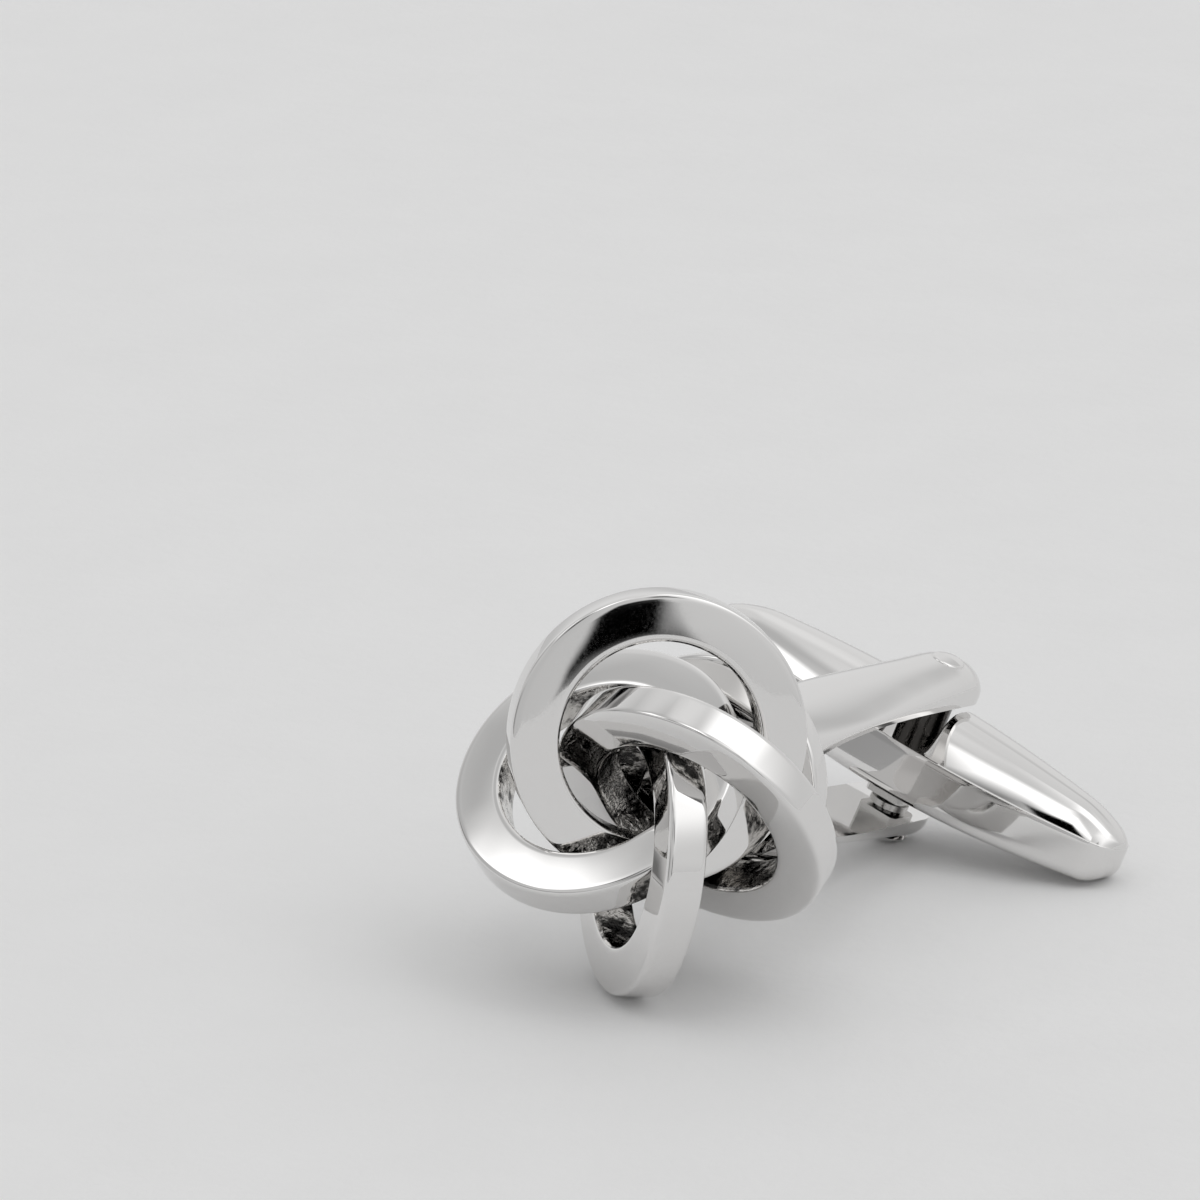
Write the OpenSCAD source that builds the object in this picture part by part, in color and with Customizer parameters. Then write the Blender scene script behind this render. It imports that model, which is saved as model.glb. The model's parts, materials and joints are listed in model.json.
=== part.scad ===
// Knot cufflink with a swivel toggle, lying on a flat surface.
// The pieces are drawn about the knot's centre, with the knot facing -Y, the post running
// back along +Y and the pivot along Z. lay() then tips the whole link into its resting pose.

/* [Knot rings] */
// Outer diameter of each ring
ring_outer_d = 10.6; // [10:0.1:12]
// Width of each ring's flat face, from its rim to its hole
ring_band = 1.75; // [1.6:0.01:1.75]
// Thickness of each ring along its own axis
ring_t = 1.6; // [1.2:0.05:1.65]
// Distance from the knot's axis to each ring's centre
ring_reach = 2; // [1.9:0.05:2.2]
// Tilt of each ring out of the knot's front plane, in degrees
ring_tilt = 41; // [39:0.5:44]
// Bevel along each ring's edges
ring_bevel = 0.15; // [0.15:0.01:0.2]
// Turn of the knot about its axis against the fork, in degrees
knot_turn = 16; // [0:1:45]
// Depth of the flat filed on each ring where it is soldered to the back disc
solder_flat = 0.25; // [0.15:0.05:0.4]

/* [Back disc] */
// Diameter of the disc behind the knot
disc_d = 9.2; // [8.4:0.1:10]
// Thickness of the disc
disc_t = 1; // [0.8:0.1:1.4]
// Bevel round the disc's rim
disc_bevel = 0.2; // [0.1:0.05:0.3]

/* [Post fork] */
// Diameter of the round foot that stands on the disc
foot_d = 5.4; // [5:0.1:6]
// Thickness of the foot
foot_t = 0.7; // [0.5:0.1:1]
// Diameter of the tenon that passes through the disc
tenon_d = 2.2; // [1.6:0.1:2.6]
// Diameter of the tenon's peened head in front of the disc
tenon_head_d = 3; // [2.8:0.1:3.4]
// Height of the peened head
tenon_head_h = 0.5; // [0.3:0.1:0.7]
// Solid length between the foot and the gap between the arms
web_t = 0.8; // [0.6:0.1:1.2]
// Distance from the knot's centre back to the pivot's axis
pin_y = 18.6; // [18:0.1:22]
// Reach of the arms' round ends beyond the pivot's axis
arm_overhang = 1.7; // [1.5:0.1:2.4]
// Width of the arms at the pivot
arm_w = 3; // [2.8:0.1:3.6]
// Width of the fork at its foot
root_w = 3.8; // [3.4:0.1:4.4]
// Clear height between the two arms at the pivot
fork_gap = 4.8; // [4.6:0.1:5.4]
// Thickness of an arm at the middle of its crown, over the pivot
arm_t = 1.2; // [0.9:0.05:1.3]
// Thickness of the thin lip along an arm's edges
lip_t = 0.2; // [0.2:0.05:0.4]
// Height of the fork at its foot, across both arms
root_h = 4.4; // [4:0.1:5]

/* [Toggle bar] */
// Length of the toggle bar from tip to tip
bar_len = 19; // [18:0.2:20]
// Width of the bar at its middle
bar_w = 4.6; // [4.2:0.1:4.8]
// Width of the bar near its tips
bar_tip_w = 2; // [1.9:0.1:2.6]
// Height of the bar at its middle
bar_h = 3.6; // [3.4:0.1:3.7]
// Height of the bar near its tips
bar_tip_h = 2.3; // [2.2:0.1:2.8]
// Height of the bar's middle above the post's axis
bar_rise = 0.3; // [0.2:0.05:0.35]
// Height of the domed top above the crease
dome_h = 1.5; // [1.45:0.05:1.7]
// Radius of the blunt ends
bar_end_r = 0.9; // [0.6:0.1:0.9]
// Radius along the lower edges
bar_edge_r = 0.5; // [0.2:0.05:0.55]
// Half of the flat seat cut in the dome under the upper arm
saddle_half = 0.95; // [0.95:0.05:1.3]
// Run of the slope from the seat up to the dome
saddle_run = 0.45; // [0.4:0.05:0.8]
// Extra length of the seat at the bar's sides, which rounds the noses of the dome
saddle_flare = 0.5; // [0:0.05:0.7]

/* [Pivot] */
// Diameter of the pivot pin
pin_d = 1; // [0.9:0.05:1.1]
// Diameter of the domed rivet head under the lower arm
pin_head_d = 2.2; // [1.7:0.1:2.4]
// Height of the rivet head from its seat
pin_head_h = 0.45; // [0.25:0.05:0.5]
// Depth of the round seat cut in the lower arm for the head
pin_head_seat = 0.15; // [0.1:0.05:0.2]
// Radial running clearance on the pin
run_clear = 0.04; // [0.02:0.01:0.06]
// Clearance between a moving face and the arm beside it
side_clear = 0.05; // [0.03:0.01:0.08]
// Diameter of the spacer collar on the saddle
collar_d = 1.7; // [1.5:0.05:1.85]
// Width across the flats of the square hub under the bar
hub_w = 1.6; // [1.5:0.05:1.8]
// Cut across each corner of the hub
hub_corner = 0.15; // [0.1:0.05:0.2]
// Width of the hub's tang, let into the bar
tang_w = 1.4; // [1.35:0.05:1.45]
// Length of the tang
tang_h = 0.8; // [0.5:0.1:1]

/* [Spring washer] */
// Outer diameter of the dished washer under the hub
dish_d = 1.5; // [1.4:0.05:1.7]
// Thickness of the washer
dish_t = 0.12; // [0.08:0.02:0.2]
// Rise of the washer from its rim to its hole
dish_rise = 0.1; // [0.05:0.01:0.15]
// Radial clearance of the washer on the pin
dish_clear = 0.05; // [0.03:0.01:0.1]

/* [Resting pose] */
// Fall of the post towards its far end, in degrees
rest_dip = 11.02; // [10:0.01:15]
// Roll about the post's axis, right-hand toggle tip down, in degrees
rest_roll = 18.62; // [14:0.01:22]
// Height of the knot's centre above the surface
rest_height = 7.293; // [6:0.001:9]
// Distance that the knot's centre lies in front of the origin
rest_forward = 8.064; // [6:0.001:10]
// Distance that the knot's centre lies to the left of the origin
rest_left = 0.096; // [-1:0.001:1]

/* [Hidden] */

// Overrun of every cut past the face it goes through
over = 0.5;
// Smoothness of round solids, and of the outlines that are swept
round_fn = 96;
crown_steps = 16;
arm_steps = 22;
tip_steps = 8;
dome_steps = 14;
corner_steps = 3;
taper_steps = 9;
nose_steps = 10;
end_steps = 5;
gap_steps = 18;
head_steps = 8;

// Fullness of the rounded inner end of the fork's gap, where 2 is an ellipse
gap_power = 2.4;
// Fullness of the toggle's dome across its width
dome_power = 2.4;
// How late the toggle's taper sets in, where 1 is a straight taper from the middle
taper_power = 2;
// How soon the crown falls off round an arm's end
crown_fall = 0.7;
// Smallest share of an arm's width and lip left at its very tip
tip_share = 0.15;
tip_lip_share = 0.5;
// Share of the gap's length, from its inner end, over which it widens
widen_share = 0.82;

// Face of the back disc, just inside the rings' rearmost edges
seat_y = (ring_outer_d/2 - ring_bevel)*sin(ring_tilt) + ring_t/2*cos(ring_tilt) - solder_flat;
disc_back_y = seat_y + disc_t;
foot_end_y = disc_back_y + foot_t;
gap_y = foot_end_y + web_t;
arm_end_y = pin_y + arm_overhang;
wide_y = gap_y + (pin_y - gap_y)*widen_share;
tip_start_y = arm_end_y - arm_w/2;

// Levels along the pivot's axis
arm_in_z = fork_gap/2;
arm_out_z = arm_in_z + arm_t;
bar_low_z = bar_rise - bar_h/2;
crease_z = bar_rise + bar_h/2 - dome_h;
hub_low_z = -arm_in_z + dish_t + dish_rise + side_clear;
head_seat_z = -arm_out_z + pin_head_seat;

silver = [0.82, 0.82, 0.83];
silver_dark = [0.55, 0.55, 0.57];
steel = [0.7, 0.71, 0.73];

// Puts the link, drawn about the knot's centre, into its resting pose
module lay() {
    translate([-rest_left, -rest_forward, rest_height])
        rotate([-rest_dip, 0, 0])
            rotate([0, rest_roll, 0])
                children();
}

// A round bar along Y
module rod_y(d, from_y, to_y) {
    translate([0, from_y, 0])
        rotate([-90, 0, 0])
            cylinder(d = d, h = to_y - from_y, $fn = round_fn);
}

// A round bar along Z, at the pivot
module pivot_rod(d, from_z, to_z) {
    translate([0, pin_y, from_z])
        cylinder(d = d, h = to_z - from_z, $fn = round_fn);
}

// A flat washer of rectangular section with bevelled edges, on the XY plane
module washer() {
    r_out = ring_outer_d/2;
    r_in = r_out - ring_band;
    h = ring_t/2;
    b = ring_bevel;
    rotate_extrude($fn = round_fn)
        polygon([
            [r_in + b, -h], [r_out - b, -h], [r_out, -h + b], [r_out, h - b],
            [r_out - b, h], [r_in + b, h], [r_in, h - b], [r_in, -h + b]
        ]);
}

// One ring of the knot, at an angle seen from the front, filed flat at the back disc
module knot_ring(angle) {
    color(silver)
        lay()
            difference() {
                rotate([0, -angle - knot_turn, 0])
                    translate([ring_reach, 0, 0])
                        rotate([90 + ring_tilt, 0, 0])
                            washer();
                rod_y(ring_outer_d*2, seat_y, seat_y + ring_outer_d);
            }
}

module back_disc() {
    r = disc_d/2;
    color(silver_dark)
        lay()
            translate([0, seat_y, 0])
                rotate([-90, 0, 0])
                    rotate_extrude($fn = round_fn)
                        polygon([
                            [tenon_d/2, 0], [r - disc_bevel, 0], [r, disc_bevel],
                            [r, disc_t - disc_bevel], [r - disc_bevel, disc_t], [tenon_d/2, disc_t]
                        ]);
}

// Half height of the gap between the arms, at a distance y along the post
function gap_half(y) =
    y >= wide_y ? arm_in_z
    : arm_in_z*pow(1 - pow((wide_y - y)/(wide_y - gap_y), gap_power), 1/gap_power);

// Height of an arm's crown above the post's axis
function crown_z(y) =
    root_h/2 + (arm_out_z - root_h/2)*(min(y, pin_y) - foot_end_y)/(pin_y - foot_end_y);

// How much of its full width an arm keeps at y, falling along a quarter circle at its end
function tip_fall(y) =
    y <= tip_start_y ? 1
    : max(tip_share, sqrt(max(0, 1 - pow((y - tip_start_y)/(arm_end_y - tip_start_y), 2))));

function fork_half_w(y) =
    (root_w + (arm_w - root_w)*min(1, (y - foot_end_y)/(pin_y - foot_end_y)))/2*tip_fall(y);

// Level of an arm's outer edge, from which its crown rises
function edge_z(y) =
    y < gap_y ? crown_z(y) - (arm_t - lip_t)
    : max(gap_half(y) + lip_t*max(tip_lip_share, tip_fall(y)), crown_z(y) - (arm_t - lip_t));

function crown_rise(y) = (crown_z(y) - edge_z(y))*pow(tip_fall(y), crown_fall);

// Section across the fork: a crown above, a crown below and upright sides
function fork_section(y) = [
    for (side = [1, -1])
        for (i = [0:crown_steps])
            let (a = 180*i/crown_steps)
                [side*fork_half_w(y)*cos(a), y, side*(edge_z(y) + crown_rise(y)*sin(a))]
];

// Side and cap faces of a solid swept through sections of n points each
function sweep_faces(sections, n) = concat(
    [for (s = [0:sections - 2]) for (i = [0:n - 1])
        [s*n + i, s*n + (i + 1)%n, (s + 1)*n + (i + 1)%n]],
    [for (s = [0:sections - 2]) for (i = [0:n - 1])
        [s*n + i, (s + 1)*n + (i + 1)%n, (s + 1)*n + i]],
    [for (i = [1:n - 2]) [0, i + 1, i]],
    [for (i = [1:n - 2]) [(sections - 1)*n, (sections - 1)*n + i, (sections - 1)*n + i + 1]]
);

module swept(sections) {
    n = len(sections[0]);
    polyhedron(points = [for (s = sections) each s], faces = sweep_faces(len(sections), n));
}

fork_stations = concat(
    [for (i = [0:arm_steps]) foot_end_y + (tip_start_y - foot_end_y)*i/arm_steps],
    [for (i = [1:tip_steps]) tip_start_y + (arm_end_y - tip_start_y)*sin(90*i/tip_steps)]
);

// The space between the arms, widening from a rounded inner end
module fork_space() {
    curve = [for (i = [0:gap_steps]) gap_y + (wide_y - gap_y)*(1 - cos(90*i/gap_steps))];
    translate([-root_w, 0, 0])
        rotate([90, 0, 90])
            linear_extrude(height = 2*root_w)
                polygon(concat(
                    [for (y = curve) [y, gap_half(y)]],
                    [[arm_end_y + over, arm_in_z], [arm_end_y + over, -arm_in_z]],
                    [for (i = [gap_steps:-1:1]) [curve[i], -gap_half(curve[i])]]
                ));
}

// A peened head of diameter d and height h, with its flat side at the XY plane
module peened_head(d, h) {
    r = d/2;
    dome_r = (r*r + h*h)/(2*h);
    reach = asin(r/dome_r);
    rotate_extrude($fn = round_fn)
        polygon(concat(
            [[0, 0]],
            [for (i = [0:head_steps])
                let (a = reach*(1 - i/head_steps)) [dome_r*sin(a), h - dome_r + dome_r*cos(a)]]
        ));
}

module post_fork() {
    color(silver)
        lay()
            difference() {
                union() {
                    swept([for (y = fork_stations) fork_section(y)]);
                    rod_y(foot_d, disc_back_y, foot_end_y);
                    rod_y(tenon_d, seat_y, disc_back_y);
                    translate([0, seat_y, 0])
                        rotate([90, 0, 0])
                            peened_head(tenon_head_d, tenon_head_h);
                }
                fork_space();
                pivot_rod(pin_d, -arm_out_z - over, arm_out_z + over);
                pivot_rod(pin_head_d, -arm_out_z - over, head_seat_z);
            }
}

// The pin: riveted flush in the upper arm, with a low domed head under the lower one
module pivot_pin() {
    color(steel)
        lay() {
            pivot_rod(pin_d, head_seat_z, arm_out_z);
            translate([0, pin_y, head_seat_z])
                rotate([180, 0, 0])
                    peened_head(pin_head_d, pin_head_h);
        }
}

module spacer_collar() {
    color(steel)
        lay()
            difference() {
                pivot_rod(collar_d, crease_z, arm_in_z - side_clear);
                pivot_rod(pin_d + 2*run_clear, crease_z - over, arm_in_z);
            }
}

// A square prism about the pivot
module pivot_square(w, from_z, to_z) {
    translate([-w/2, pin_y - w/2, from_z])
        cube([w, w, to_z - from_z]);
}

module square_hub() {
    corner_w = (hub_w - hub_corner)*sqrt(2);
    color(steel)
        lay()
            difference() {
                union() {
                    intersection() {
                        pivot_square(hub_w, hub_low_z, bar_low_z);
                        translate([0, pin_y, 0])
                            rotate([0, 0, 45])
                                translate([0, -pin_y, 0])
                                    pivot_square(corner_w, hub_low_z, bar_low_z);
                    }
                    pivot_square(tang_w, hub_low_z, bar_low_z + tang_h);
                }
                pivot_rod(pin_d + 2*run_clear, hub_low_z - over, bar_low_z + tang_h + over);
            }
}

// The dished washer, its rim on the lower arm and its raised hole under the hub
module spring_washer() {
    r_in = pin_d/2 + dish_clear;
    r_out = dish_d/2;
    color(steel)
        lay()
            translate([0, pin_y, -arm_in_z])
                rotate_extrude($fn = round_fn)
                    polygon([
                        [r_in, dish_rise], [r_out, 0], [r_out, dish_t], [r_in, dish_rise + dish_t]
                    ]);
}

// Share of the toggle's taper reached at x, from 0 in the middle to 1 at a tip
function taper(x) = pow(min(1, abs(x)/(bar_len/2)), taper_power);

// How far the outline is drawn in at x by the rounding of the blunt end
function end_inset(x) =
    let (run = max(0, abs(x) - (bar_len/2 - bar_end_r)))
        bar_end_r - sqrt(max(0, bar_end_r*bar_end_r - run*run));

// Share of the dome's full height at x, and at a share u of the half width from the middle:
// none over the seat, then a slope that is hollow at its foot and round at its top
function dome_share(x, u) =
    let (run = min(1, max(0, (abs(x) - saddle_flare*u*u - saddle_half)/saddle_run)))
        (1 - cos(180*run))/2;

// Section across the toggle: flat base with round edges, flat sides and a domed top
function bar_section(x) =
    let (
        inset = end_inset(x),
        half_w = (bar_w + (bar_tip_w - bar_w)*taper(x))/2 - inset,
        half_h = (bar_h + (bar_tip_h - bar_h)*taper(x))/2,
        low = bar_rise - half_h + inset,
        fall = half_h/(bar_h/2),
        crease = bar_rise + (crease_z - bar_rise)*fall,
        dome = bar_rise + half_h - inset - crease,
        r = min(bar_edge_r, half_w/2)
    ) concat(
        [for (i = [0:corner_steps])
            let (a = 90*i/corner_steps) [x, pin_y + half_w - r + r*sin(a), low + r - r*cos(a)]],
        [for (i = [0:dome_steps])
            let (u = cos(180*i/dome_steps))
                [x, pin_y + half_w*u, crease + dome*dome_share(x, u)*(1 - pow(abs(u), dome_power))]],
        [for (i = [0:corner_steps])
            let (a = 90*i/corner_steps) [x, pin_y - half_w + r - r*cos(a), low + r - r*sin(a)]]
    );

dome_start_x = saddle_half + saddle_run + saddle_flare;
taper_end_x = bar_len/2 - bar_end_r;
half_stations = concat(
    [saddle_half],
    [for (i = [1:nose_steps]) saddle_half + (dome_start_x - saddle_half)*i/nose_steps],
    [for (i = [1:taper_steps]) dome_start_x + (taper_end_x - dome_start_x)*i/taper_steps],
    [for (i = [1:end_steps]) taper_end_x + bar_end_r*sin(90*i/end_steps)]
);
bar_stations = concat(
    [for (i = [len(half_stations) - 1:-1:0]) half_stations[i]],
    [for (x = half_stations) -x]
);

module toggle_bar() {
    color(silver)
        lay()
            difference() {
                swept([for (x = bar_stations) bar_section(x)]);
                pivot_rod(pin_d + 2*run_clear, -bar_h, bar_h);
                pivot_square(tang_w, -bar_h, bar_low_z + tang_h);
            }
}

knot_ring(90);  // ring_top
knot_ring(180);  // ring_left
knot_ring(270);  // ring_bottom
knot_ring(0);  // ring_right
back_disc();
post_fork();
pivot_pin();
spacer_collar();
square_hub();
spring_washer();
toggle_bar();
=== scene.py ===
"""Dresses a knot cufflink: four linked rings, a forked post and a swivelling toggle bar.

The pieces are drawn in the link's own axes, with the knot facing -Y, the post running back
along +Y and the pivot along Z. The pivot and the mount in the frame say how the link lies.
"""

import json
import math

import bmesh
import bpy
from mathutils import Matrix, Vector


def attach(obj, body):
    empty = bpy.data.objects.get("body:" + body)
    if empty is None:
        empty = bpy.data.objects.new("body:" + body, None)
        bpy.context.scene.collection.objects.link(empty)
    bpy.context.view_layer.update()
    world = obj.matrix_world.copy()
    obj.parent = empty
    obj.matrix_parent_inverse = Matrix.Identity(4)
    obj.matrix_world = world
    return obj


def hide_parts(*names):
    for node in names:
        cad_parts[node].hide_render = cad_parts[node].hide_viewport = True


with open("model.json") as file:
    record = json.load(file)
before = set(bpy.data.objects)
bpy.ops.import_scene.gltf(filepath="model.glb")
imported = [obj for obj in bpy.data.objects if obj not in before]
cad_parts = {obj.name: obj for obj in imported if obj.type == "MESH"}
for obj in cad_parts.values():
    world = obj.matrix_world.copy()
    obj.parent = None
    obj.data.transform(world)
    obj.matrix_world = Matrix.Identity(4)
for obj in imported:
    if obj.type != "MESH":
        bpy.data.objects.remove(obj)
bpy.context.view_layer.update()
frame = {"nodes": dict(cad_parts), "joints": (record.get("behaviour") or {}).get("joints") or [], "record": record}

bl_info = {
    "name": "Knot cufflink",
    "version": (1, 0, 0),
    "blender": (4, 5, 0),
    "location": "3D View > Sidebar > Cufflink",
    "description": "Polished knot cufflink with a forked post and a swivelling toggle bar",
    "category": "Add Mesh",
}

MM = 0.001

# Distance from the knot's middle back to the pivot
PIVOT_BACK = 18.6 * MM
# Points that lie closer together than this are made one
MERGE = 0.0005 * MM


def resting_place():
    """The matrix that lays the link down, worked out from the pivot and the disc's back face."""
    swivel = frame["joints"][0]
    up = Vector(swivel["axis"]).normalized()
    cuff_face = next(m for m in frame["record"]["mounts"] if m["name"] == "cuff_face")
    back = Vector(cuff_face["axis"]).normalized()
    right = back.cross(up).normalized()
    place = Matrix((right, back, up)).transposed().to_4x4()
    place.translation = Vector(swivel["pos_m"]) - back * PIVOT_BACK
    return place


LAID = resting_place()


def linear_colour(code):
    """An sRGB hex colour as linear red, green and blue."""
    parts = [int(code[i:i + 2], 16) / 255 for i in (1, 3, 5)]
    return tuple(p / 12.92 if p <= 0.04045 else ((p + 0.055) / 1.055) ** 2.4 for p in parts)


class KnotSettings(bpy.types.PropertyGroup):
    """Sizes of the four linked rings and of the disc behind them."""

    ring_radius: bpy.props.FloatProperty(
        name="Ring radius", description="Outer radius of each ring",
        default=5.3 * MM, unit="LENGTH")
    hole_radius: bpy.props.FloatProperty(
        name="Hole radius", description="Radius of each ring's hole",
        default=3.55 * MM, unit="LENGTH")
    ring_thickness: bpy.props.FloatProperty(
        name="Ring thickness", description="Thickness of each ring along its axis",
        default=1.6 * MM, unit="LENGTH")
    crown: bpy.props.FloatProperty(
        name="Crown", description="How far polishing has rounded the middle of each face up",
        default=0.015 * MM, unit="LENGTH")
    fall: bpy.props.FloatProperty(
        name="Fall", description="How far each face falls from the hole out to the rim",
        default=0.09 * MM, unit="LENGTH")
    squareness: bpy.props.FloatProperty(
        name="Squareness", description="Higher values leave crisper edges on the rings",
        default=11.0)
    reach: bpy.props.FloatProperty(
        name="Reach", description="Distance from the knot's axis to each ring's centre",
        default=2.0 * MM, unit="LENGTH")
    tilt: bpy.props.FloatProperty(
        name="Tilt", description="Tilt of each ring out of the knot's front plane",
        default=math.radians(41), subtype="ANGLE")
    turn: bpy.props.FloatProperty(
        name="Turn", description="Turn of the knot about its axis against the fork",
        default=math.radians(16), subtype="ANGLE")
    disc_radius: bpy.props.FloatProperty(
        name="Disc radius", description="Radius of the backing disc",
        default=4.6 * MM, unit="LENGTH")
    disc_front: bpy.props.FloatProperty(
        name="Disc front", description="Distance from the knot's middle back to the disc",
        default=3.7325 * MM, unit="LENGTH")
    disc_thickness: bpy.props.FloatProperty(
        name="Disc thickness", description="Thickness of the backing disc",
        default=1.0 * MM, unit="LENGTH")
    disc_edge: bpy.props.FloatProperty(
        name="Disc edge", description="Radius of the disc's soft edges",
        default=0.2 * MM, unit="LENGTH")


class ForkSettings(bpy.types.PropertyGroup):
    """Sizes of the forked post."""

    foot_radius: bpy.props.FloatProperty(
        name="Foot radius", description="Radius of the round foot on the disc",
        default=2.7 * MM, unit="LENGTH")
    foot_end: bpy.props.FloatProperty(
        name="Foot end", description="Distance from the knot's middle back to the foot's end",
        default=5.4325 * MM, unit="LENGTH")
    foot_edge: bpy.props.FloatProperty(
        name="Foot edge", description="Radius of the foot's soft edge",
        default=0.12 * MM, unit="LENGTH")
    tenon_radius: bpy.props.FloatProperty(
        name="Tenon radius", description="Radius of the tenon's riveted head on the disc's front",
        default=1.5 * MM, unit="LENGTH")
    tenon_dome: bpy.props.FloatProperty(
        name="Tenon dome", description="Radius to which the tenon's head is domed",
        default=2.5 * MM, unit="LENGTH")
    gap_start: bpy.props.FloatProperty(
        name="Gap start", description="Distance from the knot's middle back to where the arms part",
        default=6.2325 * MM, unit="LENGTH")
    arch_end: bpy.props.FloatProperty(
        name="Arch end", description="Share of the way to the pivot where the gap is full",
        default=0.82, subtype="FACTOR")
    arch_power: bpy.props.FloatProperty(
        name="Arch power", description="Higher values make the arch between the arms squarer",
        default=2.4)
    overhang: bpy.props.FloatProperty(
        name="Overhang", description="Reach of the arms beyond the pivot",
        default=1.7 * MM, unit="LENGTH")
    arm_width: bpy.props.FloatProperty(
        name="Arm width", description="Width of the arms at the pivot",
        default=3.0 * MM, unit="LENGTH")
    arm_edge: bpy.props.FloatProperty(
        name="Arm edge", description="Radius of the arms' soft edges",
        default=0.07 * MM, unit="LENGTH")
    root_width: bpy.props.FloatProperty(
        name="Root width", description="Width of the fork at its foot",
        default=3.8 * MM, unit="LENGTH")
    root_height: bpy.props.FloatProperty(
        name="Root height", description="Height of the fork at its foot",
        default=4.4 * MM, unit="LENGTH")
    gap: bpy.props.FloatProperty(
        name="Gap", description="Clear height between the arms at the pivot",
        default=4.8 * MM, unit="LENGTH")
    arm_thickness: bpy.props.FloatProperty(
        name="Arm thickness", description="Thickness of an arm at its crown over the pivot",
        default=1.2 * MM, unit="LENGTH")
    lip: bpy.props.FloatProperty(
        name="Lip", description="Thickness of the thin lip along an arm's edges",
        default=0.2 * MM, unit="LENGTH")


class PivotSettings(bpy.types.PropertyGroup):
    """Sizes of the pivot pin."""

    pin_radius: bpy.props.FloatProperty(
        name="Pin radius", description="Radius of the pivot pin",
        default=0.5 * MM, unit="LENGTH")
    rivet_radius: bpy.props.FloatProperty(
        name="Rivet radius", description="Radius of the pin's riveted end in the upper arm",
        default=0.66 * MM, unit="LENGTH")
    rivet_proud: bpy.props.FloatProperty(
        name="Rivet proud", description="How far the riveted end stands out of the upper arm",
        default=0.07 * MM, unit="LENGTH")
    rivet_edge: bpy.props.FloatProperty(
        name="Rivet edge", description="Radius of the riveted end's soft edge",
        default=0.12 * MM, unit="LENGTH")
    head_radius: bpy.props.FloatProperty(
        name="Head radius", description="Radius of the domed head under the lower arm",
        default=1.1 * MM, unit="LENGTH")
    head_height: bpy.props.FloatProperty(
        name="Head height", description="Height of the domed head",
        default=0.45 * MM, unit="LENGTH")
    head_sunk: bpy.props.FloatProperty(
        name="Head sunk", description="How far the head's seat lies in the lower arm's crown",
        default=0.15 * MM, unit="LENGTH")


class ToggleSettings(bpy.types.PropertyGroup):
    """Sizes of the toggle bar."""

    length: bpy.props.FloatProperty(
        name="Length", description="Length of the bar from tip to tip",
        default=19.0 * MM, unit="LENGTH")
    width: bpy.props.FloatProperty(
        name="Width", description="Width of the bar at its middle",
        default=4.6 * MM, unit="LENGTH")
    tip_width: bpy.props.FloatProperty(
        name="Tip width", description="Width of the bar near its tips",
        default=2.0 * MM, unit="LENGTH")
    height: bpy.props.FloatProperty(
        name="Height", description="Height of the bar at its middle",
        default=3.6 * MM, unit="LENGTH")
    tip_height: bpy.props.FloatProperty(
        name="Tip height", description="Height of the bar near its tips",
        default=2.3 * MM, unit="LENGTH")
    taper_power: bpy.props.FloatProperty(
        name="Taper power", description="Higher values keep the bar full for longer",
        default=2.0)
    rise: bpy.props.FloatProperty(
        name="Rise", description="Height of the bar's middle above the post's axis",
        default=0.3 * MM, unit="LENGTH")
    dome: bpy.props.FloatProperty(
        name="Dome", description="Height of the domed top above the crease",
        default=1.5 * MM, unit="LENGTH")
    dome_power: bpy.props.FloatProperty(
        name="Dome power", description="Higher values make the dome fuller at its sides",
        default=2.6)
    nose: bpy.props.FloatProperty(
        name="Nose", description="Length over which the dome comes down to each tip",
        default=2.2 * MM, unit="LENGTH")
    end_radius: bpy.props.FloatProperty(
        name="End radius", description="Radius of the blunt ends",
        default=0.9 * MM, unit="LENGTH")
    edge_radius: bpy.props.FloatProperty(
        name="Edge radius", description="Radius along the lower edges",
        default=0.5 * MM, unit="LENGTH")
    saddle: bpy.props.FloatProperty(
        name="Saddle", description="Half length of the flat seat under the upper arm",
        default=0.95 * MM, unit="LENGTH")
    run: bpy.props.FloatProperty(
        name="Run", description="Run of the slope from the seat up to the dome",
        default=0.45 * MM, unit="LENGTH")
    flare: bpy.props.FloatProperty(
        name="Flare",
        description="How much longer the seat is at the bar's sides, which rounds the dome's start",
        default=0.5 * MM, unit="LENGTH")
    ledge: bpy.props.FloatProperty(
        name="Ledge", description="Width of the crease between the flat sides and the dome",
        default=0.1 * MM, unit="LENGTH")
    crease_radius: bpy.props.FloatProperty(
        name="Crease radius", description="Radius of the edge where a flat side ends at the crease",
        default=0.05 * MM, unit="LENGTH")
    crease_rise: bpy.props.FloatProperty(
        name="Crease rise", description="How much higher the crease lies at the tips",
        default=0.1 * MM, unit="LENGTH")


class FinishSettings(bpy.types.PropertyGroup):
    """Colours of the metals and of the paper that the link lies on."""

    plate: bpy.props.FloatVectorProperty(
        name="Plate", description="Polished rhodium plate",
        subtype="COLOR", default=linear_colour("#E6E5E4"))
    # The as-cast plate's near-black patches, partly tarnish and partly painted shade, darken this colour
    recess: bpy.props.FloatVectorProperty(
        name="Recess", description="Plate inside the rings, which was never polished",
        subtype="COLOR", default=linear_colour("#E0DEDB"))
    steel: bpy.props.FloatVectorProperty(
        name="Steel", description="Hub and washer on the pivot",
        subtype="COLOR", default=linear_colour("#C9C8C6"))
    # The collar's dark colour is painted shade of the gap under the upper arm
    collar: bpy.props.FloatVectorProperty(
        name="Collar", description="Collar under the upper arm, darkened as painted shade",
        subtype="COLOR", default=linear_colour("#4A4846"))
    paper: bpy.props.FloatVectorProperty(
        name="Paper", description="Pale paper under the link",
        subtype="COLOR", default=linear_colour("#F0F0F0"))


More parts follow.
